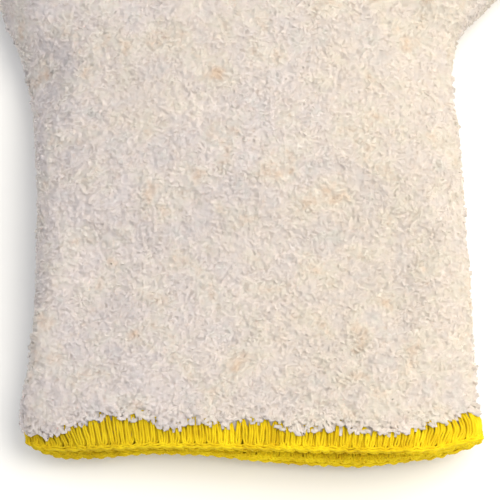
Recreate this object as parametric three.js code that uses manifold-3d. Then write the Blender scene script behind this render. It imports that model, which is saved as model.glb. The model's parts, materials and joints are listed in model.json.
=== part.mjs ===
// Terry wash mitt with one thumb, lying flat with its cuff mouth slightly open.
//
// Frame: millimetres, +Z up. The mitt lies on z = 0 with its back panel down and its palm panel up.
// +Y runs from the cuff mouth to the fingertips and the thumb points to +X. The origin is the
// middle of the bounding box's underside.
//
// Build: two terry panels are sewn together along their edge and turned, so the seam lies inside.
// The raw edge of the mouth is bound by a three-thread overlock. Elastic yarn holds the wrist.
// Each panel is cut where the mitt bends (wrist, knuckles, thumb base), so that rigid bodies can
// stand for the bending fabric.

import * as THREE from 'three';
import { mergeVertices } from 'three/addons/utils/BufferGeometryUtils.js';
import Module from 'manifold-3d';

const wasm = await Module();
wasm.setup();

// ---- driving dimensions ----------------------------------------------------------------------

const FABRIC = 4.5; // terry with its pile, one layer
const GAP = 0.3; // clearance between pieces that touch
const SEAM_Z = 8; // height of the edge seam
const FLAT_SINK = 1.2; // how far the rounded underside is pressed flat by its own weight

const WRIST_Y = 97; // bend lines
const KNUCKLE_Y = 194;
const THUMB_X = 60;

// Stations of the hand tube: left and right edge, and height of the top. The underside is at 0.
const HAND_STATIONS = [
  { y: 0, left: -53.5, right: 54, top: 15 },
  { y: 12, left: -54.4, right: 54.4, top: 16 },
  { y: 26, left: -52.4, right: 53.4, top: 16.8 },
  { y: 45, left: -51, right: 52.2, top: 17.5 },
  { y: 74, left: -51, right: 50.2, top: 18 },
  { y: 95, left: -53, right: 48.6, top: 18.5 },
  { y: 116, left: -60.5, right: 50.5, top: 21 },
  { y: 136, left: -69, right: 53.5, top: 23.5 },
  { y: 164, left: -74, right: 56.5, top: 24 },
  { y: 196, left: -74, right: 56, top: 23 },
  { y: 224, left: -70.5, right: 52.5, top: 22 },
  { y: 246, left: -59, right: 41, top: 20.5 },
  { y: 260, left: -44, right: 26, top: 18 },
  { y: 267, left: -29, right: 11, top: 16 },
  { y: 271, left: -14, right: -4, top: 14.5 },
];

// Stations of the thumb tube along its own axis, which starts inside the palm.
const THUMB_ROOT = new THREE.Vector2(34.5, 120.5);
const THUMB_ANGLE = THREE.MathUtils.degToRad(45); // from +Y towards +X
const THUMB_STATIONS = [
  { y: 0, left: -17, right: 20.5, top: 20 },
  { y: 26, left: -20.5, right: 20.5, top: 22 },
  { y: 54, left: -21, right: 21, top: 22 },
  { y: 74, left: -19.5, right: 19.5, top: 21 },
  { y: 88, left: -13.5, right: 13.5, top: 18.5 },
  { y: 94, left: -5, right: 5, top: 14.5 },
];
const THUMB_TIP_START = 60; // an inset also shortens the tube from here to its tip
const FINGER_TIP_START = 215;

const HEM_WIDTH = 9.5; // length of the overlock stitches
const HEM_RECESS = 0.6; // the stitches press the pile down by this much
const THREAD = 1.2; // thickness of one laid layer of thread
const NEEDLE_LINE = 1; // width of the needle thread's line above the stitches

const ELASTIC_ROWS = [72, 79, 86]; // distances of the elastic yarns from the mouth
const ELASTIC_YARN = 1;

const SEAM_WIDTH = 1.4; // the seam's stitches, turned into the hollow
const SEAM_HEIGHT = 1;

const RING_POINTS = 28;
const STATION_STEP = 10;
const ROUNDNESS = 2.5; // exponent of the tube's cross-section: 2 is an ellipse

// ---- colours ---------------------------------------------------------------------------------

const CREAM = 0xe2d7cd;
const YELLOW = 0xd9b428;
const WHITE = 0xe9e4da;

// ---- tubes -----------------------------------------------------------------------------------

// Value of one column of the stations at y, on a smooth curve through them.
function at(stations, column, y) {
  const last = stations.length - 1;
  let i = 0;
  while (i < last - 1 && y > stations[i + 1].y) i += 1;
  const slope = (k) => {
    const a = stations[Math.max(k - 1, 0)];
    const b = stations[Math.min(k + 1, last)];
    return (b[column] - a[column]) / (b.y - a.y);
  };
  const [p, q] = [stations[i], stations[i + 1]];
  const h = q.y - p.y;
  const t = THREE.MathUtils.clamp((y - p.y) / h, 0, 1);
  const start = p[column] * (1 + 2 * t) * (1 - t) ** 2 + slope(i) * h * t * (1 - t) ** 2;
  const end = q[column] * t * t * (3 - 2 * t) - slope(i + 1) * h * t * t * (1 - t);
  return start + end;
}

// One ring of a tube: a flattened superellipse whose underside is pressed flat.
function ring(stations, y, inset) {
  const left = at(stations, 'left', y);
  const right = at(stations, 'right', y);
  const half = Math.max((right - left) / 2 - inset, ((right - left) / 2) * 0.3);
  const middle = (left + right) / 2;
  const top = at(stations, 'top', y) - inset;
  const points = [];
  for (let k = 0; k < RING_POINTS; k += 1) {
    const angle = (2 * Math.PI * k) / RING_POINTS;
    const [c, s] = [Math.cos(angle), Math.sin(angle)];
    const across = Math.sign(c) * Math.abs(c) ** (2 / ROUNDNESS);
    const rise = Math.abs(s) ** (2 / ROUNDNESS);
    const z = s > 0
      ? SEAM_Z + (top - SEAM_Z) * rise
      : Math.max(SEAM_Z - (SEAM_Z - inset + FLAT_SINK) * rise, inset);
    points.push([middle + half * across, z]);
  }
  return points;
}

// A closed tube through rings at the given distances. Each ring has its own inset.
function loft(stations, rows) {
  const positions = [];
  const indices = [];
  for (const { y, inset, place = y } of rows) {
    for (const [x, z] of ring(stations, y, inset)) positions.push(x, place, z);
  }
  const count = rows.length;
  for (let i = 0; i < count - 1; i += 1) {
    for (let k = 0; k < RING_POINTS; k += 1) {
      const next = (k + 1) % RING_POINTS;
      const [a, b] = [i * RING_POINTS + k, i * RING_POINTS + next];
      const [c, d] = [a + RING_POINTS, b + RING_POINTS];
      indices.push(a, d, b, a, c, d);
    }
  }
  for (const [row, flip] of [[0, false], [count - 1, true]]) {
    const centre = positions.length / 3;
    positions.push((at(stations, 'left', rows[row].y) + at(stations, 'right', rows[row].y)) / 2);
    positions.push(rows[row].place ?? rows[row].y, SEAM_Z);
    for (let k = 0; k < RING_POINTS; k += 1) {
      const a = row * RING_POINTS + k;
      const b = row * RING_POINTS + ((k + 1) % RING_POINTS);
      indices.push(centre, ...(flip ? [b, a] : [a, b]));
    }
  }
  const geometry = new THREE.BufferGeometry();
  geometry.setAttribute('position', new THREE.Float32BufferAttribute(positions, 3));
  geometry.setIndex(indices);
  return geometry;
}

// Rows of a whole tube with one inset. The tip is shortened by the same inset.
function rowsOf(stations, inset, tipStart, first) {
  const end = stations[stations.length - 1].y;
  const steps = Math.round((end - first) / STATION_STEP);
  const rows = [];
  for (let i = 0; i <= steps; i += 1) {
    const y = first + ((end - first) * i) / steps;
    const past = Math.max(y - tipStart, 0) / (end - tipStart);
    rows.push({ y: Math.max(y, 0), inset, place: y - inset * past });
  }
  return rows;
}

// ---- solids ----------------------------------------------------------------------------------

function solid(geometry) {
  const bare = geometry.clone();
  bare.deleteAttribute('normal');
  bare.deleteAttribute('uv');
  const merged = mergeVertices(bare, 1e-4);
  return new wasm.Manifold(new wasm.Mesh({
    numProp: 3,
    vertProperties: new Float32Array(merged.attributes.position.array),
    triVerts: new Uint32Array(merged.index.array),
  }));
}

function box(x0, x1, y0, y1, z0, z1) {
  const geometry = new THREE.BoxGeometry(x1 - x0, y1 - y0, z1 - z0);
  geometry.translate((x0 + x1) / 2, (y0 + y1) / 2, (z0 + z1) / 2);
  return solid(geometry);
}

const FAR = 400;
const between = (y0, y1) => box(-FAR, FAR, y0, y1, -FAR, FAR);
const rightOf = (x0) => box(x0, FAR, -FAR, FAR, -FAR, FAR);
const leftOf = (x1) => box(-FAR, x1, -FAR, FAR, -FAR, FAR);
const height = (z0, z1) => box(-FAR, FAR, -FAR, FAR, z0, z1);

// The mitt's outer form, shrunk by an inset. A first row before the mouth opens a hollow there.
function form(inset, first = 0) {
  const hand = loft(HAND_STATIONS, rowsOf(HAND_STATIONS, inset, FINGER_TIP_START, first));
  const thumb = loft(THUMB_STATIONS, rowsOf(THUMB_STATIONS, inset, THUMB_TIP_START, 0));
  thumb.rotateZ(-THUMB_ANGLE);
  thumb.translate(THUMB_ROOT.x, THUMB_ROOT.y, 0);
  return solid(hand).add(solid(thumb));
}

// A ring around the cuff, from one inset to another and from one distance to another.
function cuffRing(outerInset, innerInset, y0, y1) {
  const span = (inset, a, b) => solid(loft(HAND_STATIONS, [
    { y: Math.max(a, 0), inset, place: a },
    { y: b, inset },
  ]));
  return span(outerInset, y0, y1).subtract(span(innerInset, y0 - 1, y1 + 1));
}

// ---- pieces ----------------------------------------------------------------------------------

const group = new THREE.Group();

function piece(name, shape, color, roughness = 0.95) {
  const { vertProperties, triVerts } = shape.getMesh();
  const geometry = new THREE.BufferGeometry();
  geometry.setAttribute('position', new THREE.BufferAttribute(vertProperties, 3));
  geometry.setIndex(new THREE.BufferAttribute(triVerts, 1));
  geometry.computeVertexNormals();
  const material = new THREE.MeshStandardMaterial({ color, roughness, metalness: 0 });
  const mesh = new THREE.Mesh(geometry, material);
  mesh.name = name;
  group.add(mesh);
}

// The parts of the mitt that move as one, each as the space it takes up.
const HALF = GAP / 2;
const SPACES = {
  cuff: between(-FAR, WRIST_Y - HALF),
  hand: between(WRIST_Y + HALF, KNUCKLE_Y - HALF).intersect(leftOf(THUMB_X - HALF)),
  finger: between(KNUCKLE_Y + HALF, FAR),
  thumb: between(WRIST_Y + HALF, KNUCKLE_Y - HALF).intersect(rightOf(THUMB_X + HALF)),
};

// Terry panels: the shell between the outer form and the hollow, thinned at the mouth where the
// overlock thread lies on both faces and wraps the raw edge.
const outsideStep = HEM_RECESS + THREAD + GAP;
const insideStep = FABRIC - THREAD - GAP;
const hemEnd = HEM_WIDTH + NEEDLE_LINE + 2 * GAP;
const elasticGroove = (y) => cuffRing(
  FABRIC - ELASTIC_YARN - GAP,
  FABRIC + 1,
  y - GAP,
  y + ELASTIC_YARN + GAP,
);
let shell = form(0)
  .subtract(form(FABRIC, -STATION_STEP))
  .subtract(cuffRing(-FAR, outsideStep, -1, hemEnd))
  .subtract(cuffRing(insideStep, FABRIC + 1, -1, HEM_WIDTH + GAP))
  .subtract(between(-1, THREAD + GAP));
for (const y of ELASTIC_ROWS) shell = shell.subtract(elasticGroove(y));

for (const [name, space] of Object.entries(SPACES)) {
  const part = shell.intersect(space);
  piece(`${name}_back_panel`, part.intersect(height(-1, SEAM_Z - HALF)), CREAM);
  piece(`${name}_palm_panel`, part.intersect(height(SEAM_Z + HALF, FAR)), CREAM);
}

// Overlock threads of the hem. The loopers meet on the raw edge.
const edgeMiddle = (outsideStep + insideStep) / 2;
piece(
  'hem_upper_looper_thread',
  cuffRing(HEM_RECESS, HEM_RECESS + THREAD, 0, HEM_WIDTH)
    .add(cuffRing(HEM_RECESS, edgeMiddle - HALF, 0, THREAD)),
  YELLOW,
);
piece(
  'hem_lower_looper_thread',
  cuffRing(FABRIC - THREAD, FABRIC, 0, HEM_WIDTH)
    .add(cuffRing(edgeMiddle + HALF, FABRIC, 0, THREAD)),
  YELLOW,
);
piece(
  'hem_needle_thread',
  cuffRing(HEM_RECESS, HEM_RECESS + THREAD, HEM_WIDTH + GAP, HEM_WIDTH + GAP + NEEDLE_LINE),
  YELLOW,
);

// Elastic yarns laid into the inner face of the cuff, below the wrist bend.
ELASTIC_ROWS.forEach((y, i) => {
  const yarn = cuffRing(FABRIC - ELASTIC_YARN, FABRIC, y, y + ELASTIC_YARN);
  piece(`wrist_elastic_yarn_${i + 1}`, yarn, WHITE);
});

// Seam thread: the line where the two panels are sewn together, inside the mitt.
const seamInset = FABRIC + GAP;
const seamLine = form(seamInset, -STATION_STEP)
  .subtract(form(seamInset + SEAM_WIDTH, -STATION_STEP))
  .intersect(height(SEAM_Z - SEAM_HEIGHT / 2, SEAM_Z + SEAM_HEIGHT / 2))
  .intersect(between(hemEnd + GAP, FAR));
for (const [name, space] of Object.entries(SPACES)) {
  const runs = seamLine.intersect(space).decompose();
  runs.sort((a, b) => a.boundingBox().min[0] - b.boundingBox().min[0]);
  runs.forEach((run, i) => {
    const side = runs.length === 1 ? '' : `_${i + 1}`;
    piece(`${name}_seam_thread${side}`, run, WHITE);
  });
}

// ---- origin ----------------------------------------------------------------------------------

const bounds = new THREE.Box3().setFromObject(group);
const middle = bounds.getCenter(new THREE.Vector3());
group.position.set(-middle.x, -middle.y, -bounds.min.z);

export default group;
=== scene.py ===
"""Terry wash mitt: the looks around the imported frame. Metres, row frame."""
import json
import math

import bmesh
import bpy
import numpy as np
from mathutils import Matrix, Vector, noise


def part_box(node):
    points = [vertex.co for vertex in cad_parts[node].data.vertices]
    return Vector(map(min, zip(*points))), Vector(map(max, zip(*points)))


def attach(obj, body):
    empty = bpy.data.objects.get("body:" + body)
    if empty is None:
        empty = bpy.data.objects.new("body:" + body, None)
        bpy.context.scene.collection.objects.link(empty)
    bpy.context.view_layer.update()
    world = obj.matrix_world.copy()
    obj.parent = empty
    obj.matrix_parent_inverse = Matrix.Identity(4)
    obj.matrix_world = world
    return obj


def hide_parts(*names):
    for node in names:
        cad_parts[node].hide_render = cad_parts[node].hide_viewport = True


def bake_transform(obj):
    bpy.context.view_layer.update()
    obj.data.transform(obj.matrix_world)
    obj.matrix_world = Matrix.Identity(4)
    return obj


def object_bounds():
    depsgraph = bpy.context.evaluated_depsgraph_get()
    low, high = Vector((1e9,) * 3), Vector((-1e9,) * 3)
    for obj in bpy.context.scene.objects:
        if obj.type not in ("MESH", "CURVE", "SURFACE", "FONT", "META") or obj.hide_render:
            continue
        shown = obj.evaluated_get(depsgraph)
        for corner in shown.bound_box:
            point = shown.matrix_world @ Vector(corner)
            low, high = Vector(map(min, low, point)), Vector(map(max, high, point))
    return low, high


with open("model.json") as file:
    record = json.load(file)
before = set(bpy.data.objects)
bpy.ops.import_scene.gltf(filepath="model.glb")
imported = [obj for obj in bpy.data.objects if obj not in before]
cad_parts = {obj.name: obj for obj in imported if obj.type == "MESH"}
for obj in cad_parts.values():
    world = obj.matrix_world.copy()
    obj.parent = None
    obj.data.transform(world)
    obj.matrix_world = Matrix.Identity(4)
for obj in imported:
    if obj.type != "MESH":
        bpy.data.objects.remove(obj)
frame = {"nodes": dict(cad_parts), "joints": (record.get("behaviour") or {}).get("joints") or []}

MM = 0.001
CAD_LOW, CAD_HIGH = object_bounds()

# ---- sizes -----------------------------------------------------------------------------------

PILE = 0.62 * MM  # depth of the matted body of the pile under the tips of the loops
HEM_SUNK = 1.2 * MM  # how much deeper the knit lies under the hem's stitches
GROUND = 2.2 * MM  # thickness of the ground knit
ROOT = 2.1 * MM  # depth of a loop's feet under the tips
WALE = 1.02 * MM  # spacing of the loops across
COURSE = 1.0 * MM  # spacing of the loops along the mitt
YARN = 0.37 * MM  # radius of the pile yarn
LOOP_WIDTH = (0.9, 1.7)  # distance between a loop's feet in mm, from and to
LEAN = 1.5 * MM  # how far loops lean together
CLUMP = 4 * MM  # width of a clump of loops that lean together
LOOP_POINTS = 6
LOOP_SIDES = 3
FLUFF = 3.2  # how far the yarn's shading leans to the cloth's own

STITCH = 2.8 * MM  # pitch of the hem's overlock
HEM = 9.0 * MM  # length of its stitches
HEM_COVERED = 1.7 * MM  # how much of the stitches the pile covers everywhere
HEM_RAGGED = 0.9 * MM  # and how unevenly
HEM_DROP = 1.3 * MM  # how far the last loops hang over them
STRAND = 0.29 * MM  # radius of one strand of the hem thread
STRAND_SIDES = 6
TUFT_SHARE = 0.55  # share of the gaps between stitches where a loop of pile hangs out
TUFT_YARN = (0.26, 0.36)  # radius of its yarn in mm, from and to
STRANDS = (-0.26 * MM, 0.26 * MM)  # the strands of one thread, side by side

VOXEL = 2.6 * MM  # size of the form's remesh
SIM_FRAMES = 15
SIM_MOVE = 2.5 * MM  # how far the cloth simulation may move a point
SIM_SHARE = np.array([0.0, 0.0, 1.0])  # the cloth's sideways swelling is held back
BROAD_DENT = 0.9 * MM  # depth of the lying mitt's broad hollows
SMALL_DENT = 0.45 * MM  # and of the small ones among them
REGROW = 0.4 * MM  # what remeshing and smoothing take off the form
BEND = 12 * MM  # how far before the finger fold's bend line the finger piece starts
CUFF_PAST = 23 * MM  # how far the cuff's terry runs past its bend line
RNG = np.random.default_rng(7)

# ---- the frame's own places ------------------------------------------------------------------

HEM_LOW, HEM_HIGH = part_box("hem_upper_looper_thread")
MOUTH_Y = HEM_LOW.y
MOUTH_X = (HEM_LOW.x + HEM_HIGH.x) / 2
JOINTS = {j["name"]: Vector(j["pos_m"]) for j in frame["joints"]}
WRIST_Y = JOINTS["wrist_bend"].y
CUFF_END = WRIST_Y + CUFF_PAST
KNUCKLE_Y = JOINTS["finger_fold"].y
THUMB_X = JOINTS["thumb_fold"].x
SEAM_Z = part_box("hand_back_panel")[1].z
PANELS = [n for n in frame["nodes"] if n.endswith("_panel")]


# ---- mesh helpers ----------------------------------------------------------------------------

def arrays(mesh):
    """Vertices and triangles of a mesh."""
    mesh.calc_loop_triangles()
    verts = np.zeros(len(mesh.vertices) * 3)
    mesh.vertices.foreach_get("co", verts)
    tris = np.zeros(len(mesh.loop_triangles) * 3, int)
    mesh.loop_triangles.foreach_get("vertices", tris)
    return verts.reshape(-1, 3), tris.reshape(-1, 3)


def new_mesh(name, verts, faces_by_size):
    """A mesh from vertices and a list of face arrays, each with faces of one size."""
    mesh = bpy.data.meshes.new(name)
    faces_by_size = [np.asarray(f, np.int32) for f in faces_by_size if len(f)]
    sizes = np.concatenate([np.full(len(f), f.shape[1], np.int32) for f in faces_by_size])
    corners = np.concatenate([f.ravel() for f in faces_by_size])
    mesh.vertices.add(len(verts))
    mesh.vertices.foreach_set("co", np.asarray(verts, np.float32).ravel())
    mesh.loops.add(len(corners))
    mesh.loops.foreach_set("vertex_index", corners)
    mesh.polygons.add(len(sizes))
    starts = np.concatenate([[0], np.cumsum(sizes)[:-1]]).astype(np.int32)
    mesh.polygons.foreach_set("loop_start", starts)
    mesh.polygons.foreach_set("loop_total", sizes)
    mesh.update(calc_edges=True)
    mesh.validate()
    return mesh


def shade_smooth(mesh):
    mesh.polygons.foreach_set("use_smooth", np.ones(len(mesh.polygons), bool))


def new_object(name, data):
    obj = bpy.data.objects.new(name, data)
    bpy.context.scene.collection.objects.link(obj)
    return obj


def applied(obj):
    """obj with its modifiers applied."""
    graph = bpy.context.evaluated_depsgraph_get()
    mesh = bpy.data.meshes.new_from_object(obj.evaluated_get(graph))
    obj.modifiers.clear()
    obj.data = mesh
    return obj


def unit(v):
    return v / np.maximum(np.linalg.norm(v, axis=-1, keepdims=True), 1e-12)


# ---- the mitt's outer form -------------------------------------------------------------------

def mouth_plug():
    """A thin plate that closes the mouth, from the hem thread's own rim."""
    verts = arrays(frame["nodes"]["hem_upper_looper_thread"].data)[0]
    rim = verts[verts[:, 1] < MOUTH_Y + 1.3 * MM]
    bm = bmesh.new()
    for p in rim:
        bm.verts.new(p)
    bmesh.ops.convex_hull(bm, input=bm.verts)
    mesh = bpy.data.meshes.new("plug")
    bm.to_mesh(mesh)
    bm.free()
    return arrays(mesh)


def closed_form(voxel):
    """The outer surface of the whole mitt as one closed mesh: the panels and the hem, remeshed."""
    names = PANELS + ["hem_upper_looper_thread"]
    parts = [arrays(frame["nodes"][n].data) for n in names] + [mouth_plug()]
    verts, faces, count = [], [], 0
    for v, f in parts:
        verts.append(v)
        faces.append(f + count)
        count += len(v)
    obj = new_object("form", new_mesh("form", np.concatenate(verts), [np.concatenate(faces)]))
    remesh = obj.modifiers.new("remesh", "REMESH")
    remesh.mode = "VOXEL"
    remesh.voxel_size = voxel
    applied(obj)
    keep_largest_island(obj)
    return obj


def keep_largest_island(obj):
    """Drops the inner surface, which the remesh leaves as an island of its own."""
    bm = bmesh.new()
    bm.from_mesh(obj.data)
    unseen, islands = set(bm.verts), []
    while unseen:
        stack, island = [unseen.pop()], []
        while stack:
            v = stack.pop()
            island.append(v)
            for e in v.link_edges:
                o = e.other_vert(v)
                if o in unseen:
                    unseen.remove(o)
                    stack.append(o)
        islands.append(island)
    islands.sort(key=len)
    bmesh.ops.delete(bm, geom=[v for i in islands[:-1] for v in i], context="VERTS")
    bm.to_mesh(obj.data)
    bm.free()


def simulate(obj, move):
    """Cloth: the closed form is given slack and a little air, and settles into soft folds."""
    rest = arrays(obj.data)[0]
    cloth = obj.modifiers.new("cloth", "CLOTH")
    s = cloth.settings
    s.quality = 6
    s.mass = 0.3
    s.tension_stiffness = s.compression_stiffness = 12
    s.bending_stiffness = 4
    s.use_pressure = True
    s.uniform_pressure_force = 1.5
    s.shrink_min = -0.05
    s.effector_weights.gravity = 0
    cloth.collision_settings.use_collision = False
    scene = bpy.context.scene
    for f in range(1, SIM_FRAMES + 1):
        scene.frame_set(f)
    applied(obj)
    scene.frame_set(1)
    verts = arrays(obj.data)[0]
    step = (verts - rest) * SIM_SHARE
    far = np.linalg.norm(step, axis=1, keepdims=True)
    step *= np.minimum(1, move / np.maximum(far, 1e-9))
    obj.data.vertices.foreach_set("co", (rest + step).astype(np.float32).ravel())


def relax(obj, rounds):
    smooth = obj.modifiers.new("smooth", "SMOOTH")
    smooth.factor = 0.5
    smooth.iterations = rounds
    applied(obj)


def vnoise(points, scale, seed):
    """Smooth noise from -1 to 1 at each point, with features of about scale."""
    offset = Vector((seed * 7.31, seed * 3.17, seed * 1.73))
    return np.array([noise.noise(Vector(p / scale) + offset) for p in points])


def dented(verts):
    """Soft hollows in the palm side of the lying mitt."""
    v = verts.copy()
    top = np.clip((v[:, 2] - SEAM_Z) / (6 * MM), 0, 1)
    v[:, 2] += top * BROAD_DENT * vnoise(v * [1, 0.8, 0], 26 * MM, 1)
    v[:, 2] += top * SMALL_DENT * vnoise(v, 11 * MM, 2)
    return v


# Place across the mouth from -1 to 1, then how far the back edge and the palm edge lie in from
# the mouth, and how far the palm is lifted there. The mouth is closed on the left, open right.
MOUTH = np.array([
    (-1.00, 7.8, 7.8, -1.0),
    (-0.93, 4.7, 5.0, -2.5),
    (-0.83, 3.0, 4.4, -4.0),
    (-0.67, 3.3, 4.4, -4.8),
    (-0.44, 4.5, 4.8, -4.2),
    (-0.20, 4.1, 4.4, -2.4),
    (0.00, 2.8, 3.8, -0.6),
    (0.22, 1.8, 3.2, 0.8),
    (0.50, 1.2, 2.4, 2.0),
    (0.74, 2.8, 2.7, 2.0),
    (0.86, 3.7, 4.6, 1.6),
    (0.95, 5.2, 6.6, 0.8),
    (1.00, 8.0, 8.4, 0.2),
])
MOUTH_REACH = 45 * MM  # how far up the cuff the mouth's shape is felt

# Way up from the mouth, then how far the left and the right side stand out there as the cloth lies.
SIDES = np.array([
    (0, 0.0, -0.3),
    (4, 0.2, -0.3),
    (7, 0.3, 0.0),
    (10, 0.5, -1.0),
    (14, 0.8, -2.6),
    (17, 0.0, -1.7),
    (21, -0.8, -0.6),
    (28, -0.3, -0.2),
    (34, 0.1, 0.1),
    (44, 0.5, 0.3),
    (54, 0.7, 0.8),
    (66, 0.8, 1.2),
    (75, 1.3, 1.6),
    (85, 1.8, 1.7),
    (103, 1.9, 1.6),
    (112, 2.4, 0.6),
    (130, 1.2, 0.0),
    (160, 0.0, 0.0),
])


def mouth_row(across, column):
    """One column of MOUTH at each place, with its corners rounded."""
    steps = np.linspace(-1.2, 1.2, 241)
    values = np.interp(steps, MOUTH[:, 0], MOUTH[:, column]) * MM
    soft = np.convolve(np.pad(values, 5, mode="edge"), np.ones(11) / 11, mode="valid")
    return np.interp(across, steps, soft)


def settled(verts):
    """verts with the cuff's mouth as it lies: its edge line bowed, and its palm side lifted."""
    v = verts.copy()
    near = np.clip(1 - (v[:, 1] - MOUTH_Y) / MOUTH_REACH, 0, 1)
    near = near * near * (3 - 2 * near)
    across = (v[:, 0] - MOUTH_X) / (HEM_HIGH.x - MOUTH_X)
    palm = np.clip((v[:, 2] - 5 * MM) / (7 * MM), 0, 1)
    palm = palm * palm * (3 - 2 * palm)
    back_edge, palm_edge = mouth_row(across, 1), mouth_row(across, 2)
    v[:, 1] += near * (back_edge + (palm_edge - back_edge) * palm)
    side = np.sign(across) * np.clip(np.abs(across), 0, 1) ** 6
    v[:, 0] += near ** 8 * side * (2.4 + 1.9 * across) * MM
    rim = np.sign(across) * np.clip(np.abs(across) / 0.9, 0, 1) ** 3
    up = (v[:, 1] - MOUTH_Y) / MM
    left, right = np.interp(up, SIDES[:, 0], SIDES[:, 1]), np.interp(up, SIDES[:, 0], SIDES[:, 2])
    v[:, 0] += rim * np.where(rim < 0, left, right) * MM
    v[:, 2] += near * mouth_row(across, 3) * palm
    v[:, 2] = np.maximum(v[:, 2], 0)
    return v


form = closed_form(VOXEL)
simulate(form, SIM_MOVE)
relax(form, 2)


def form_arrays():
    """The form's vertices, triangles and vertex normals."""
    verts, tris = arrays(form.data)
    normals = np.zeros(len(verts) * 3)
    form.data.vertex_normals.foreach_get("vector", normals)
    return verts, tris, normals.reshape(-1, 3)


form_verts, form_tris, form_normals = form_arrays()
form_verts = dented(form_verts + form_normals * REGROW)
form_verts[:, 2] = np.maximum(form_verts[:, 2], 0)
form.data.vertices.foreach_set("co", form_verts.astype(np.float32).ravel())
form.data.update()
form_verts, form_tris, form_normals = form_arrays()


# ---- sections of the form, one for each course of the knit -----------------------------------

def sections(y):
    """Closed outlines of the form at y: a list of (points, normals), in order around."""
    side = form_verts[:, 1] > y
    cut = side[form_tris].sum(1)
    tris = form_tris[(cut > 0) & (cut < 3)]
    links, places = {}, {}
    for tri in tris:
        ends = []
        for a, b in ((tri[0], tri[1]), (tri[1], tri[2]), (tri[2], tri[0])):
            if side[a] != side[b]:
                key = (min(a, b), max(a, b))
                if key not in places:
                    p, q = form_verts[key[0]], form_verts[key[1]]
                    t = (y - p[1]) / (q[1] - p[1])
                    n = form_normals[key[0]] * (1 - t) + form_normals[key[1]] * t
                    places[key] = (p + (q - p) * t, n)
                ends.append(key)
        links.setdefault(ends[0], []).append(ends[1])
        links.setdefault(ends[1], []).append(ends[0])
    unseen, found = dict.fromkeys(places), []
    while unseen:
        first = next(iter(unseen))
        loop, at = [], first
        while at is not None:
            del unseen[at]
            loop.append(at)
            at = next((k for k in links[at] if k in unseen), None)
        points = np.array([places[k][0] for k in loop])
        normals = unit(np.array([places[k][1] for k in loop]))
        x, z = points[:, 0], points[:, 2]
        # every outline goes over the top from left to right
        if (x * np.roll(z, -1) - np.roll(x, -1) * z).sum() > 0:
            points, normals = points[::-1], normals[::-1]
        if len(points) > 8:
            found.append((points, normals))
    return found


def resampled(points, normals, spacing, phase):
    """Places spacing apart around a closed outline, counted from its grain line on top."""
    start = int(np.argmin(np.abs(points[:, 0] - MOUTH_X) + (points[:, 2] < SEAM_Z) * 1.0))
    points = np.roll(points, -start, 0)
    normals = np.roll(normals, -start, 0)
    closed = np.vstack([points, points[:1]])
    walk = np.concatenate([[0], np.cumsum(np.linalg.norm(np.diff(closed, axis=0), axis=1))])
    count = max(int(walk[-1] / spacing), 4)
    s = (np.arange(count) + phase) * walk[-1] / count
    where = np.stack([np.interp(s, walk, closed[:, k]) for k in range(3)], 1)
    closed_n = np.vstack([normals, normals[:1]])
    facing = np.stack([np.interp(s, walk, closed_n[:, k]) for k in range(3)], 1)
    ahead = np.stack([np.interp((s + 0.2 * MM) % walk[-1], walk, closed[:, k]) for k in range(3)], 1)
    return where, unit(facing), unit(ahead - where)


# ---- the hem's surface -----------------------------------------------------------------------

HEM_RINGS = 240
HEM_LEVELS = np.array([0.9, 2.5, 4.5, 6.5, 8.5, 10.5]) * MM


def half_outline(points, normals, top):
    """The palm or the back half of an outline, from left to right, at even steps."""
    left, right = int(points[:, 0].argmin()), int(points[:, 0].argmax())
    points, normals = np.roll(points, -left, 0), np.roll(normals, -left, 0)
    turn = (right - left) % len(points)
    if top:
        p, n = points[: turn + 1], normals[: turn + 1]
    else:
        p = np.vstack([points[turn:], points[:1]])[::-1]
        n = np.vstack([normals[turn:], normals[:1]])[::-1]
    walk = np.concatenate([[0], np.cumsum(np.linalg.norm(np.diff(p, axis=0), axis=1))])
    s = np.linspace(0, walk[-1], HEM_RINGS)
    return (np.stack([np.interp(s, walk, p[:, k]) for k in range(3)], 1),
            np.stack([np.interp(s, walk, n[:, k]) for k in range(3)], 1))


def hem_surface():
    """Points and normals of the cuff's end, by distance from the edge and by way around it."""
    levels = []
    for v in HEM_LEVELS:
        p, n = max(sections(MOUTH_Y + v), key=lambda o: len(o[0]))
        over, over_n = half_outline(p, n, True)
        back, back_n = half_outline(p, n, False)
        levels.append((np.vstack([over, back[::-1][1:-1]]), np.vstack([over_n, back_n[::-1][1:-1]])))
    return np.array([l[0] for l in levels]), np.array([l[1] for l in levels])


SURFACE, FACING = hem_surface()
AROUND = np.concatenate([[0], np.cumsum(np.linalg.norm(np.diff(SURFACE[1], axis=0), axis=1))])
PERIMETER = AROUND[-1] + np.linalg.norm(SURFACE[1][0] - SURFACE[1][-1])
STITCHES = round(PERIMETER / STITCH)
OUT = 1.15 * MM  # depth of the upper looper's legs under the tips of the pile
INSIDE = 4.3 * MM  # depth of the lower looper's legs


def hem_point(way, up, depth):
    """A point of the hem: way around it from 0 to 1, up from the edge, and depth under the pile."""
    k = np.asarray(way) % 1 * SURFACE.shape[1]
    k0 = k.astype(int) % SURFACE.shape[1]
    k1 = (k0 + 1) % SURFACE.shape[1]
    t = (k - np.floor(k))[:, None]
    level = np.interp(up, HEM_LEVELS, np.arange(len(HEM_LEVELS)))
    l0 = np.minimum(level.astype(int), len(HEM_LEVELS) - 2)
    u = (level - l0)[:, None]

    def mixed(a):
        low = a[l0, k0] * (1 - t) + a[l0, k1] * t
        high = a[l0 + 1, k0] * (1 - t) + a[l0 + 1, k1] * t
        return low * (1 - u) + high * u

    p = mixed(SURFACE)
    p[:, 1] += np.minimum(up - HEM_LEVELS[0], 0)
    normal = unit(mixed(FACING) * [1, 0, 1])
    return p - normal * np.asarray(depth)[:, None], normal


# ---- terry -----------------------------------------------------------------------------------

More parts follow.
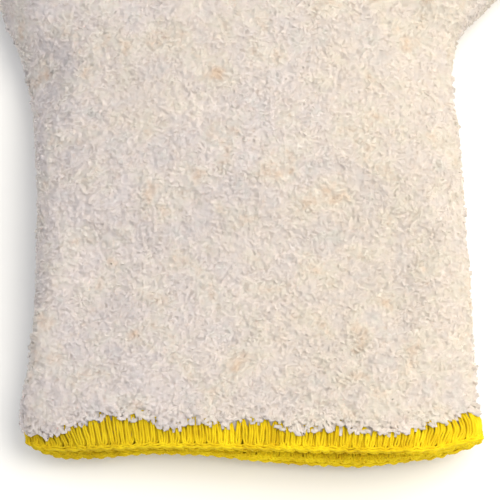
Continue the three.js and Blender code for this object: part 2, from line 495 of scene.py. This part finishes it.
def loop_places():
    """Root, normal and course direction of every pile loop of the mitt."""
    found = []
    for i in range(int((CAD_HIGH.y - MOUTH_Y) / COURSE)):
        y = MOUTH_Y + (i + 0.5) * COURSE
        for points, normals in sections(y):
            p, n, a = resampled(points, normals, WALE, 0.5 * (i % 2))
            found.append(np.hstack([p, n, a]))
    rows = np.vstack(found)
    rows = rows[np.abs(rows[:, 4]) < 0.75]
    return np.vstack([rows, tip_places()])


def tip_places():
    """Loops where the surface faces along the mitt, which the courses pass by."""
    corners = form_verts[form_tris]
    cross = np.cross(corners[:, 1] - corners[:, 0], corners[:, 2] - corners[:, 0])
    normal = unit(cross)
    steep = (np.abs(normal[:, 1]) >= 0.75) & (corners[:, :, 1].mean(1) > MOUTH_Y + 15 * MM)
    area = np.linalg.norm(cross, axis=1) / 2 * steep
    count = int(area.sum() / (WALE * COURSE) * 1.15)
    pick = RNG.choice(len(area), count, p=area / area.sum())
    u, v = RNG.random((2, count, 1))
    flip = (u + v) > 1
    u, v = np.where(flip, 1 - u, u), np.where(flip, 1 - v, v)
    c = corners[pick]
    place = c[:, 0] + (c[:, 1] - c[:, 0]) * u + (c[:, 2] - c[:, 0]) * v
    across = unit(np.cross(normal[pick], [0, 0, 1.0]) + 1e-6)
    return np.hstack([place, normal[pick], across])


def tubes(paths, radii, sides, frames):
    """Closed tubes along paths (n, k, 3), with radii (n, k) and a binormal for each (n, 3)."""
    n, k, _ = paths.shape
    tangent = unit(np.gradient(paths, axis=1))
    u = unit(frames[:, None] - (frames[:, None] * tangent).sum(2, keepdims=True) * tangent)
    w = np.cross(tangent, u)
    angle = 2 * np.pi * np.arange(sides) / sides
    ring = u[:, :, None] * np.cos(angle)[:, None] + w[:, :, None] * np.sin(angle)[:, None]
    verts = paths[:, :, None] + ring * radii[:, :, None, None]
    index = np.arange(n * k * sides).reshape(n, k, sides)
    nxt = np.roll(index, -1, 2)
    quads = np.stack([index[:, :-1], nxt[:, :-1], nxt[:, 1:], index[:, 1:]], -1).reshape(-1, 4)
    caps = np.concatenate([index[:, 0, ::-1], index[:, -1]])
    return verts.reshape(-1, 3), quads, caps


def loop_paths(places):
    """The curve of every pile loop: an arch on the ground knit that leans over and curls."""
    root, normal, across = places[:, :3], places[:, 3:6], places[:, 6:9]
    count = len(root)
    along = np.cross(normal, across)
    jitter = RNG.normal(0, 1, (count, 2)) * [0.22 * WALE, 0.3 * COURSE]
    root = root + across * jitter[:, :1] + along * jitter[:, 1:]
    # neighbours lean much the same way, in clumps
    lean_a = LEAN * vnoise(root, CLUMP, 3) + RNG.normal(0, 0.5, count) * MM
    lean_b = LEAN * vnoise(root, CLUMP, 4) + RNG.normal(0, 0.5, count) * MM
    lean = across * lean_a[:, None] + along * lean_b[:, None]
    lean += np.array([0, -1.0, 0]) * hem_drop(root)[:, None]
    heading = np.arctan2((lean * along).sum(1), (lean * across).sum(1))
    span = heading + np.pi / 2 + RNG.normal(0, 0.6, count)
    twist = RNG.normal(0, 0.7, count)
    width = RNG.uniform(*LOOP_WIDTH, count) * MM
    sunk = 0.4 * MM + 0.35 * MM * vnoise(root, 2.4 * MM, 5) + RNG.normal(0, 0.07, count) * MM
    sunk = np.clip(sunk, 0.1 * MM, 0.7 * MM) - 0.2 * hem_drop(root)
    t = np.linspace(0, 1, LOOP_POINTS)
    arch = np.sin(np.pi * t)
    turn = span[:, None] + twist[:, None] * (t - 0.5)
    side = across[:, None] * np.cos(turn)[..., None] + along[:, None] * np.sin(turn)[..., None]
    spread = np.cos(np.pi * t) * (0.75 + 0.5 * arch) * width[:, None] / 2
    rise = (ROOT - sunk[:, None]) * arch[None] ** 0.75 - ROOT
    path = root[:, None] + side * spread[..., None] + normal[:, None] * rise[..., None]
    path += lean[:, None] * (arch ** 1.4)[None, :, None]
    wobble = 0.22 * MM * np.sin(2 * np.pi * t + RNG.uniform(0, 2 * np.pi, (count, 1))) * arch
    path += np.cross(side, normal[:, None]) * wobble[..., None]
    path[..., 2] = np.maximum(path[..., 2], 0.6 * YARN)
    binormal = -across * np.sin(span)[:, None] + along * np.cos(span)[:, None]
    thick = YARN * (1 + 0.15 * vnoise(root, 3 * MM, 6)) * RNG.uniform(0.85, 1.15, count)
    thick *= 1 + 0.25 * hem_drop(root) / HEM_DROP
    uneven = RNG.uniform(0.88, 1.12, (count, LOOP_POINTS))
    radii = thick[:, None] * (0.75 + 0.3 * arch)[None] * uneven
    return path, radii, binormal


HEM_TUFTS = [  # place across the mouth from -1 to 1, width, and how far pile covers the stitches
    (-0.95, 0.20, 5.6 * MM),
    (-0.34, 0.09, 3.8 * MM),
    (-0.10, 0.16, 3.0 * MM),
    (0.25, 0.24, 3.6 * MM),
    (0.56, 0.20, 3.9 * MM),
    (0.90, 0.25, 1.8 * MM),
]


def hem_cover(points):
    """How far up from the edge the stitches show at each point."""
    across = (points[:, 0] - MOUTH_X) / (HEM_HIGH.x - MOUTH_X)
    cover = np.zeros(len(points))
    for place, width, reach in HEM_TUFTS:
        cover = np.maximum(cover, reach * np.exp(-((across - place) / width) ** 2))
    ragged = HEM_RAGGED * vnoise(points * [1, 0, 1], 5 * MM, 8)
    return HEM - HEM_COVERED - cover + ragged


def hem_drop(points):
    """How far loops near the hem hang over its stitches."""
    above = points[:, 1] - MOUTH_Y - hem_cover(points)
    return HEM_DROP * np.clip(1 - above / (5 * MM), 0, 1)


def tuft_paths():
    """Loops of the pile that hang out between the legs of the hem's stitches."""
    slots = 2 * STITCHES
    slot = np.flatnonzero(RNG.random(slots) < TUFT_SHARE)
    way = (slot + RNG.normal(0, 0.1, len(slot))) / slots
    root, normal = hem_point(way, np.full(len(slot), HEM * 0.6), np.zeros(len(slot)))
    top = hem_cover(root) + 1.2 * MM
    t = np.linspace(0, 1, LOOP_POINTS)
    hang = np.sin(np.pi * t)
    length = (1.6 + RNG.exponential(0.9, (len(slot), 1))) * MM
    up = np.maximum(top[:, None] - length * hang, 2.5 * MM)
    depth = OUT - 0.1 * MM - 0.45 * MM * hang
    width = RNG.uniform(0.25, 0.5, (len(slot), 1)) / slots
    spread = way[:, None] + width * (t - 0.5)
    points, _ = hem_point(spread.ravel(), up.ravel(), np.tile(depth, len(slot)))
    path = points.reshape(len(slot), LOOP_POINTS, 3)
    thick = RNG.uniform(*TUFT_YARN, (len(slot), 1)) * MM * np.ones(LOOP_POINTS)
    across = unit(np.cross(np.array([0, 1.0, 0]), normal))
    return np.hstack([root, normal, across]), path, thick, normal


places = loop_places()
above = places[:, 1] - MOUTH_Y - hem_cover(places[:, :3])
fringe = places[(above < 4.5 * MM) & (above > 0.5 * MM)]
places = np.vstack([places, fringe + [0, 0.5 * COURSE, 0, 0, 0, 0, 0, 0, 0]])
visible = places[:, 1] - MOUTH_Y > hem_cover(places[:, :3]) + 0.6 * MM
places = places[visible]
paths, radii, binormals = loop_paths(places)
tufts = tuft_paths()
places = np.vstack([places, tufts[0]])
paths = np.concatenate([paths, tufts[1]])
radii = np.concatenate([radii, tufts[2]])
binormals = np.concatenate([binormals, tufts[3]])


# ---- pieces of terry -------------------------------------------------------------------------

def body_part(points):
    """Name of the visual piece that each point belongs to."""
    x, y, z = points.T
    part = np.full(len(points), "hand", object)
    part[y < CUFF_END] = "cuff"
    part[y > KNUCKLE_Y - BEND] = "finger"
    part[(x > THUMB_X - 2 * MM) & (y < KNUCKLE_Y - 2 * MM) & (y > WRIST_Y)] = "thumb"
    panel = np.where(z > SEAM_Z, "_palm_terry", "_back_terry")
    return part + panel


def ground_patch(name, keep):
    """The ground knit under one piece's loops: a patch of the form, sunk by the pile's height."""
    used, faces = np.unique(form_tris[keep], return_inverse=True)
    above = form_verts[used, 1] - MOUTH_Y - hem_cover(form_verts[used])
    stitched = np.clip((1 * MM - above) / (2 * MM), 0, 1)
    depth = PILE + HEM_SUNK * stitched
    sunk = form_verts[used] - form_normals[used] * depth[:, None]
    obj = new_object(name, new_mesh(name, sunk, [faces.reshape(-1, 3)]))
    solid = obj.modifiers.new("solid", "SOLIDIFY")
    solid.thickness = GROUND
    solid.offset = -1
    applied(obj)
    verts, tris = arrays(obj.data)
    bpy.data.objects.remove(obj)
    return verts, tris, np.vstack([form_normals[used], -form_normals[used]])


def set_uv(mesh, uv):
    """Writes a UV for each vertex, on the layer that a bake of the colours uses."""
    layer = mesh.uv_layers.new(name="OFBake")
    corner = np.zeros(len(mesh.loops), np.int32)
    mesh.loops.foreach_get("vertex_index", corner)
    layer.data.foreach_set("uv", uv[corner].astype(np.float32).ravel())


def terry_uv(ground, loops):
    """The knit's two faces in the lower half of the square, and a small cell for each loop above."""
    low, size = ground.min(0), np.ptp(ground, axis=0)
    flat = (ground[:, :2] - low[:2]) / size[:2] * [0.98, 0.23] + [0.01, 0.01]
    flat[len(ground) // 2:, 1] += 0.25
    columns = math.ceil(math.sqrt(2 * loops))
    cell = np.arange(loops)
    corner = np.stack([cell % columns, cell // columns], 1)[:, None, None]
    i, k = np.meshgrid(np.arange(LOOP_POINTS), np.arange(LOOP_SIDES), indexing="ij")
    inside = np.stack([0.2 + 0.6 * i / (LOOP_POINTS - 1), 0.2 + 0.6 * k / LOOP_SIDES], -1)
    cells = (corner + inside).reshape(-1, 2) / columns + [0, 0.5]
    return np.vstack([flat, cells])


def fluff_normals(mesh, knit, facing):
    """Turns the yarn's normals towards the cloth's own, as light spreads inside a soft yarn."""
    first = len(knit)
    own = np.zeros(len(mesh.vertices) * 3)
    mesh.vertex_normals.foreach_get("vector", own)
    own = own.reshape(-1, 3)
    cloth = np.repeat(facing, LOOP_POINTS * LOOP_SIDES, axis=0)
    flat = np.clip(np.abs(cloth[:, 2:]), 0.15, 1)
    own[:first] = knit
    own[first:] = unit(own[first:] + FLUFF * flat * cloth)
    mesh.normals_split_custom_set_from_vertices(own)


def terry_piece(name, loops, faces):
    gv, gf, knit = ground_patch(name + "_ground", faces)
    verts, quads, caps = tubes(paths[loops], radii[loops], LOOP_SIDES, binormals[loops])
    verts = settled(np.vstack([gv, verts]))
    mesh = new_mesh(name, verts, [gf, quads + len(gv), caps + len(gv)])
    shade_smooth(mesh)
    fluff_normals(mesh, knit, places[loops, 3:6])
    set_uv(mesh, terry_uv(gv, int(loops.sum())))
    mesh.materials.append(TERRY)
    return new_object(name, mesh)


def nodes_of(material):
    material.use_nodes = True
    tree = material.node_tree
    return tree, tree.nodes["Principled BSDF"]


def ramp_node(tree, stops):
    """A colour ramp with the given places and colours."""
    node = tree.nodes.new("ShaderNodeValToRGB")
    elements = node.color_ramp.elements
    while len(elements) < len(stops):
        elements.new(0.5)
    for element, (place, _) in zip(elements, stops):
        element.position = place
    for element, (_, colour) in zip(elements, stops):
        element.color = (*colour, 1)
    return node


def multiplied(tree, first, second):
    """The product of two colours."""
    node = tree.nodes.new("ShaderNodeMix")
    node.data_type = "RGBA"
    node.blend_type = "MULTIPLY"
    node.inputs["Factor"].default_value = 1
    tree.links.new(first, node.inputs["A"])
    tree.links.new(second, node.inputs["B"])
    return node.outputs["Result"]


def ramp_across(tree, coords, start, end, low, high):
    """A value that goes from low at start to high at end, both measured from the mouth's middle."""
    place = tree.nodes.new("ShaderNodeSeparateXYZ")
    tree.links.new(coords.outputs["Object"], place.inputs["Vector"])
    across = tree.nodes.new("ShaderNodeMapRange")
    across.inputs["From Min"].default_value = MOUTH_X + start
    across.inputs["From Max"].default_value = MOUTH_X + end
    across.inputs["To Min"].default_value = low
    across.inputs["To Max"].default_value = high
    tree.links.new(place.outputs["X"], across.inputs["Value"])
    return across.outputs["Result"]


def painted_fold_shade(tree, coords):
    """Painted shade: a slow change across the cloth from greyish and darker on the left to cream on the
    right, in broad patches, standing in for the light falling from the right and the shade of soft
    folds.
    """
    add = tree.nodes.new
    link = tree.links.new
    wide = add("ShaderNodeTexNoise")
    wide.inputs["Scale"].default_value = 32
    wide.inputs["Detail"].default_value = 2
    link(coords.outputs["Object"], wide.inputs["Vector"])
    share = add("ShaderNodeMath")
    share.operation = "MULTIPLY_ADD"
    share.inputs[1].default_value = 2.0
    link(wide.outputs["Fac"], share.inputs[0])
    link(ramp_across(tree, coords, -60 * MM, 60 * MM, -1.0, 0.1), share.inputs[2])
    tint = ramp_node(tree, [(0.0, (0.925, 0.925, 0.945)), (1.0, (0.99, 0.97, 0.91))])
    link(share.outputs["Value"], tint.inputs["Fac"])
    return tint.outputs["Color"]


def terry_material():
    m = bpy.data.materials.new("terry")
    tree, shader = nodes_of(m)
    add = tree.nodes.new
    link = tree.links.new
    coords = add("ShaderNodeTexCoord")
    broad = add("ShaderNodeTexNoise")
    broad.inputs["Scale"].default_value = 130
    broad.inputs["Detail"].default_value = 3
    broad.inputs["Roughness"].default_value = 0.6
    fine = add("ShaderNodeTexNoise")
    fine.inputs["Scale"].default_value = 560
    fine.inputs["Detail"].default_value = 2
    link(coords.outputs["Object"], broad.inputs["Vector"])
    link(coords.outputs["Object"], fine.inputs["Vector"])
    tone = ramp_node(tree, [
        (0.30, (0.557, 0.551, 0.546)),
        (0.40, (0.575, 0.534, 0.541)),
        (0.50, (0.613, 0.561, 0.544)),
        (0.58, (0.593, 0.566, 0.529)),
        (0.65, (0.600, 0.529, 0.475)),
        (0.74, (0.565, 0.432, 0.331)),
    ])
    link(broad.outputs["Fac"], tone.inputs["Fac"])
    speck = ramp_node(tree, [
        (0.28, (0.494, 0.406, 0.348)),
        (0.38, (0.575, 0.529, 0.515)),
        (0.55, (0.613, 0.577, 0.569)),
        (0.72, (0.663, 0.633, 0.627)),
    ])
    link(fine.outputs["Fac"], speck.inputs["Fac"])
    mix = add("ShaderNodeMix")
    mix.data_type = "RGBA"
    mix.inputs["Factor"].default_value = 0.3
    link(tone.outputs["Color"], mix.inputs["A"])
    link(speck.outputs["Color"], mix.inputs["B"])
    # the base colour is multiplied by painted shade, greyer and darker to the left and in broad patches
    link(multiplied(tree, mix.outputs["Result"], painted_fold_shade(tree, coords)), shader.inputs["Base Color"])
    shader.inputs["Roughness"].default_value = 0.95
    shader.subsurface_method = "BURLEY"
    shader.inputs["Subsurface Weight"].default_value = 0.5
    shader.inputs["Subsurface Radius"].default_value = (1.0, 0.9, 0.8)
    shader.inputs["Subsurface Scale"].default_value = 1.3 * MM
    shader.inputs["Specular IOR Level"].default_value = 0.15
    shader.inputs["Sheen Weight"].default_value = 0.1
    shader.inputs["Sheen Roughness"].default_value = 0.6
    knots = add("ShaderNodeTexNoise")
    knots.inputs["Scale"].default_value = 950
    knots.inputs["Detail"].default_value = 3
    link(coords.outputs["Object"], knots.inputs["Vector"])
    bump = add("ShaderNodeBump")
    bump.inputs["Strength"].default_value = 0.3
    bump.inputs["Distance"].default_value = 0.4 * MM
    link(knots.outputs["Fac"], bump.inputs["Height"])
    tufts = add("ShaderNodeTexNoise")
    tufts.inputs["Scale"].default_value = 400
    tufts.inputs["Detail"].default_value = 1
    link(coords.outputs["Object"], tufts.inputs["Vector"])
    clumps = add("ShaderNodeBump")
    clumps.inputs["Strength"].default_value = 0.8
    clumps.inputs["Distance"].default_value = 1.7 * MM
    link(tufts.outputs["Fac"], clumps.inputs["Height"])
    link(bump.outputs["Normal"], clumps.inputs["Normal"])
    link(clumps.outputs["Normal"], shader.inputs["Normal"])
    return m


def yarn_material():
    m = bpy.data.materials.new("hem_thread")
    tree, shader = nodes_of(m)
    add = tree.nodes.new
    link = tree.links.new
    coords = add("ShaderNodeTexCoord")
    broad = add("ShaderNodeTexNoise")
    broad.inputs["Scale"].default_value = 220
    link(coords.outputs["Object"], broad.inputs["Vector"])
    tone = add("ShaderNodeValToRGB")
    tone.color_ramp.elements[0].position = 0.3
    tone.color_ramp.elements[0].color = (0.68, 0.465, 0.006, 1)
    tone.color_ramp.elements[1].position = 0.7
    tone.color_ramp.elements[1].color = (0.90, 0.70, 0.012, 1)
    link(broad.outputs["Fac"], tone.inputs["Fac"])
    # painted shade: the thread is darker and duller towards the mouth's closed corner, which turns away
    # from the light
    painted_shade = ramp_node(tree, [(0.0, (0.76, 0.75, 0.95)), (1.0, (1, 1, 1))])
    link(ramp_across(tree, coords, -45 * MM, -4 * MM, 0, 1), painted_shade.inputs["Fac"])
    link(multiplied(tree, tone.outputs["Color"], painted_shade.outputs["Color"]), shader.inputs["Base Color"])
    shader.inputs["Roughness"].default_value = 0.85
    shader.inputs["Specular IOR Level"].default_value = 0.15
    shader.inputs["Sheen Weight"].default_value = 0.03
    shader.subsurface_method = "BURLEY"
    shader.inputs["Subsurface Weight"].default_value = 0.3
    shader.inputs["Subsurface Radius"].default_value = (1.0, 0.8, 0.3)
    shader.inputs["Subsurface Scale"].default_value = 0.5 * MM
    fibre = add("ShaderNodeTexNoise")
    fibre.inputs["Scale"].default_value = 4000
    link(coords.outputs["Object"], fibre.inputs["Vector"])
    bump = add("ShaderNodeBump")
    bump.inputs["Strength"].default_value = 0.5
    bump.inputs["Distance"].default_value = 0.0002
    link(fibre.outputs["Fac"], bump.inputs["Height"])
    link(bump.outputs["Normal"], shader.inputs["Normal"])
    return m


TERRY = terry_material()
YELLOW = yarn_material()

loop_piece = body_part(places[:, :3])
centres = form_verts[form_tris].mean(1)
face_piece = body_part(centres)
covered = centres[:, 1] > MOUTH_Y + 1.5 * MM
for name in sorted(set(face_piece)):
    obj = terry_piece(name, loop_piece == name, (face_piece == name) & covered)
    part, panel = name.split("_")[:2]
    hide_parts(f"{part}_{panel}_panel")
    if part == "cuff":
        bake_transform(obj)
    elif part == "finger":
        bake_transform(obj)
    elif part == "thumb":
        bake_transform(obj)
    else:
        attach(obj, "hand")
bpy.data.objects.remove(form)


# ---- hem -------------------------------------------------------------------------------------

def smooth_path(points, steps):
    """Catmull-Rom through a closed list of points."""
    p0, p1, p2, p3 = (np.roll(points, k, 0) for k in (1, 0, -1, -2))
    t = (np.arange(steps) / steps)[None, :, None]
    a, b, c, d = (p[:, None] for p in (p0, p1, p2, p3))
    curve = 0.5 * (2 * b + (c - a) * t + (2 * a - 5 * b + 4 * c - d) * t ** 2
                   + (3 * b - a - 3 * c + d) * t ** 3)
    return curve.reshape(-1, 3)


def stranded(path, facing, offsets, radius, seed):
    """A closed thread along a closed path, its strands side by side across facing."""
    rng = np.random.default_rng(seed)
    ahead = unit(np.roll(path, -1, 0) - np.roll(path, 1, 0))
    side = unit(np.cross(facing, ahead))
    up = np.cross(ahead, side)
    verts, faces, count = [], [], 0
    ring = 2 * np.pi * np.arange(STRAND_SIDES) / STRAND_SIDES
    for offset in offsets:
        sway = rng.normal(0, 0.05 * MM, (2, len(path)))
        sway = (sway + np.roll(sway, 1, 1) + np.roll(sway, -1, 1)) / 1.7
        centre = path + side * (offset + sway[0])[:, None] + up * sway[1][:, None]
        thick = radius * rng.uniform(0.9, 1.12, len(path))
        around = side[:, None] * np.cos(ring)[:, None] + up[:, None] * np.sin(ring)[:, None]
        verts.append((centre[:, None] + around * thick[:, None, None]).reshape(-1, 3))
        index = np.arange(len(path) * STRAND_SIDES).reshape(len(path), STRAND_SIDES) + count
        nxt, turned = np.roll(index, -1, 1), np.roll(index, -1, 0)
        faces.append(np.stack([index, turned, np.roll(nxt, -1, 0), nxt], -1).reshape(-1, 4))
        count += len(path) * STRAND_SIDES
    return np.concatenate(verts), np.concatenate(faces)


def looper_path(half, phase, seed, covered=False):
    """A zigzag of thread and its normals, from half a stitch as (share of pitch, up, depth)."""
    rng = np.random.default_rng(seed)
    mirrored = [(1 - share, up, depth) for share, up, depth in half[-2:0:-1]]
    shape = np.array(half + mirrored)
    k = np.arange(STITCHES)
    slip = rng.normal(0, 0.07, STITCHES)
    high = rng.normal(0, 0.3 * MM, STITCHES)
    share = shape[None, :, 0]
    way = (k[:, None] + phase + share + slip[:, None] * np.sin(np.pi * share)) / STITCHES
    up = shape[None, :, 1] + high[:, None] * np.clip(shape[None, :, 1] / HEM, 0, 1)
    if covered:
        flat, _ = hem_point(way.ravel(), up.ravel(), np.zeros(up.size))
        reach = hem_cover(flat).reshape(up.shape) + 1.0 * MM
        up = np.where(up > 0, up * np.clip(reach / (HEM + 0.3 * MM), 0, 1), up)
    depth = shape[None, :, 2] + rng.normal(0, 0.05 * MM, way.shape)
    points, normals = hem_point(way.ravel(), up.ravel(), depth.ravel())
    return smooth_path(points, 3), unit(smooth_path(normals, 3))


def thread_piece(name, runs, node, seed):
    verts, faces, uv, count = [], [], [], 0
    for i, ((path, facing), offsets, radius) in enumerate(runs):
        v, f = stranded(path, facing, offsets, radius, seed * 10 + i)
        verts.append(v)
        faces.append(f + count)
        count += len(v)
        counts = (len(offsets), len(path), STRAND_SIDES)
        strand, along, around = np.meshgrid(*map(np.arange, counts), indexing="ij")
        lane = i + (strand + 0.1 + 0.8 * around / STRAND_SIDES) / len(offsets)
        uv.append(np.stack([lane / len(runs), (along + 0.5) / len(path)], -1).reshape(-1, 2))
    mesh = new_mesh(name, settled(np.concatenate(verts)), [np.concatenate(faces)])
    shade_smooth(mesh)
    mesh.materials.append(YELLOW)
    set_uv(mesh, np.concatenate(uv))
    obj = new_object(name, mesh)
    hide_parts(node)
    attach(obj, "cuff")


UPPER_HALF = [
    (0.00, HEM + 0.3 * MM, OUT + 0.5 * MM),
    (0.12, HEM, OUT + 0.1 * MM),
    (0.21, HEM * 0.85, OUT - 0.1 * MM),
    (0.25, HEM * 0.5, OUT - 0.15 * MM),
    (0.27, 2.2 * MM, OUT),
    (0.31, 0.8 * MM, OUT + 0.1 * MM),
    (0.39, 0.1 * MM, OUT + 0.4 * MM),
    (0.50, -0.1 * MM, OUT + 0.7 * MM),
]
UNDER_HALF = [
    (0.00, HEM * 0.75, OUT + 0.7 * MM),
    (0.14, HEM * 0.7, OUT + 0.5 * MM),
    (0.23, HEM * 0.5, OUT + 0.4 * MM),
    (0.26, HEM * 0.2, OUT + 0.4 * MM),
    (0.34, 0.6 * MM, OUT + 0.5 * MM),
    (0.50, 0.2 * MM, OUT + 0.8 * MM),
]
LOWER_HALF = [
    (0.00, HEM * 0.92, INSIDE - 0.5 * MM),
    (0.13, HEM * 0.88, INSIDE),
    (0.22, HEM * 0.7, INSIDE),
    (0.26, HEM * 0.4, INSIDE),
    (0.28, 1.4 * MM, INSIDE),
    (0.30, 0.3 * MM, INSIDE - 0.1 * MM),
    (0.37, -0.3 * MM, INSIDE - 0.5 * MM),
    (0.50, -0.5 * MM, INSIDE - 1.0 * MM),
]
NEEDLE_HALF = [
    (0.0, HEM + 0.2 * MM, OUT),
    (0.25, HEM + 0.3 * MM, OUT),
    (0.5, HEM + 0.3 * MM, OUT + 0.5 * MM),
]


def chain_path(depth, swing, seed):
    """One run of the interlocked loops along the raw edge, scalloped once for each stitch."""
    rng = np.random.default_rng(seed)
    steps = 8
    share = np.arange(STITCHES * steps) / steps
    wave = np.cos(2 * np.pi * share + rng.uniform(0, 1))
    up = -0.3 * MM - swing * wave + rng.normal(0, 0.04 * MM, len(share))
    deep = depth + 0.12 * MM * np.sin(4 * np.pi * share)
    return hem_point(share / STITCHES, up, deep)


upper_runs = [
    (looper_path(UPPER_HALF, 0, 11, True), STRANDS, STRAND),
    (looper_path(UNDER_HALF, 0.25, 14, True), STRANDS, STRAND),
    (chain_path(OUT + 0.1 * MM, 0.16 * MM, 15), STRANDS, 0.29 * MM),
    (chain_path(OUT + 0.8 * MM, 0.1 * MM, 16), STRANDS, 0.32 * MM),
]
lower_runs = [
    (looper_path(LOWER_HALF, 0.5, 12), STRANDS, STRAND),
    (looper_path(LOWER_HALF, 0.75, 17), STRANDS, STRAND),
    (chain_path(OUT + 1.5 * MM, 0.12 * MM, 18), (0.0,), 0.34 * MM),
    (chain_path(OUT + 2.2 * MM, 0.1 * MM, 19), (0.0,), 0.32 * MM),
    (chain_path(INSIDE - 0.4 * MM, 0.06 * MM, 20), (0.0,), 0.3 * MM),
]
needle_runs = [(looper_path(NEEDLE_HALF, 0, 13, True), (0.0,), STRAND)]
thread_piece("hem_upper_looper", upper_runs, "hem_upper_looper_thread", 21)
thread_piece("hem_lower_looper", lower_runs, "hem_lower_looper_thread", 22)
thread_piece("hem_needle_line", needle_runs, "hem_needle_thread", 23)


# ---- threads that stay as the frame has them -------------------------------------------------

def plain_thread_material():
    m = bpy.data.materials.new("inner_thread")
    tree, shader = nodes_of(m)
    coords = tree.nodes.new("ShaderNodeTexCoord")
    twist = tree.nodes.new("ShaderNodeTexNoise")
    twist.inputs["Scale"].default_value = 1500
    tree.links.new(coords.outputs["Object"], twist.inputs["Vector"])
    tone = tree.nodes.new("ShaderNodeValToRGB")
    tone.color_ramp.elements[0].color = (0.66, 0.61, 0.53, 1)
    tone.color_ramp.elements[1].color = (0.85, 0.81, 0.74, 1)
    tree.links.new(twist.outputs["Fac"], tone.inputs["Fac"])
    tree.links.new(tone.outputs["Color"], shader.inputs["Base Color"])
    bump = tree.nodes.new("ShaderNodeBump")
    bump.inputs["Strength"].default_value = 0.6
    bump.inputs["Distance"].default_value = 0.0002
    tree.links.new(twist.outputs["Fac"], bump.inputs["Height"])
    tree.links.new(bump.outputs["Normal"], shader.inputs["Normal"])
    shader.inputs["Roughness"].default_value = 0.85
    return m


INNER = plain_thread_material()
for name, node in frame["nodes"].items():
    if not node.hide_render:
        node.data.materials.clear()
        node.data.materials.append(INNER)


# ---- stage -----------------------------------------------------------------------------------

FLOOR_SIZE = 8
FRAME_WIDTH = 120 * MM  # width of the view at the mitt
ELEVATION = math.radians(73)
VIEW_UP = 52.5 * MM  # from the mouth to the middle of the view
LENS = 150
SENSOR = 36


def floor():
    bpy.ops.mesh.primitive_plane_add(size=FLOOR_SIZE)
    obj = bpy.context.object
    obj.name = "floor"
    m = bpy.data.materials.new("floor")
    tree, shader = nodes_of(m)
    grain = tree.nodes.new("ShaderNodeTexNoise")
    grain.inputs["Scale"].default_value = 60
    tone = tree.nodes.new("ShaderNodeValToRGB")
    tone.color_ramp.elements[0].color = (0.97, 0.97, 0.97, 1)
    tone.color_ramp.elements[1].color = (0.99, 0.99, 0.99, 1)
    tree.links.new(grain.outputs["Fac"], tone.inputs["Fac"])
    tree.links.new(tone.outputs["Color"], shader.inputs["Base Color"])
    shader.inputs["Roughness"].default_value = 0.9
    obj.data.materials.append(m)


# Name, place from the middle of the cuff, size, power and colour.
LIGHTS = [
    ("key", (0.24, 0.03, 0.40), 0.5, 1.9, (1, 0.93, 0.80)),
    ("fill", (-0.6, 0.2, 0.6), 0.9, 0.3, (0.92, 0.96, 1)),
]
CUFF_MIDDLE = Vector((MOUTH_X, MOUTH_Y + 0.08, 0))
WORLD_STRENGTH = 0.75


def area_light(name, offset, size, power, colour):
    data = bpy.data.lights.new(name, "AREA")
    data.shape = "DISK"
    data.size = size
    data.energy = power
    data.color = colour
    obj = new_object(name, data)
    obj.location = CUFF_MIDDLE + Vector(offset)
    obj.rotation_euler = (CUFF_MIDDLE - obj.location).to_track_quat("-Z", "Y").to_euler()


def camera():
    data = bpy.data.cameras.new("camera")
    data.lens = LENS
    data.sensor_width = SENSOR
    obj = new_object("camera", data)
    distance = FRAME_WIDTH / SENSOR * LENS
    target = Vector((MOUTH_X, MOUTH_Y + VIEW_UP, 9 * MM))
    back = Vector((0, -math.cos(ELEVATION), math.sin(ELEVATION)))
    obj.location = target + back * distance
    obj.rotation_euler = (-back).to_track_quat("-Z", "Y").to_euler()
    bpy.context.scene.camera = obj


floor()
camera()
for name, offset, size, power, colour in LIGHTS:
    area_light(name, offset, size, power, colour)
world = bpy.data.worlds.new("world")
world.use_nodes = True
world.node_tree.nodes["Background"].inputs["Color"].default_value = (1, 1, 1, 1)
world.node_tree.nodes["Background"].inputs["Strength"].default_value = WORLD_STRENGTH
bpy.context.scene.world = world
bpy.context.scene.view_settings.view_transform = "Standard"
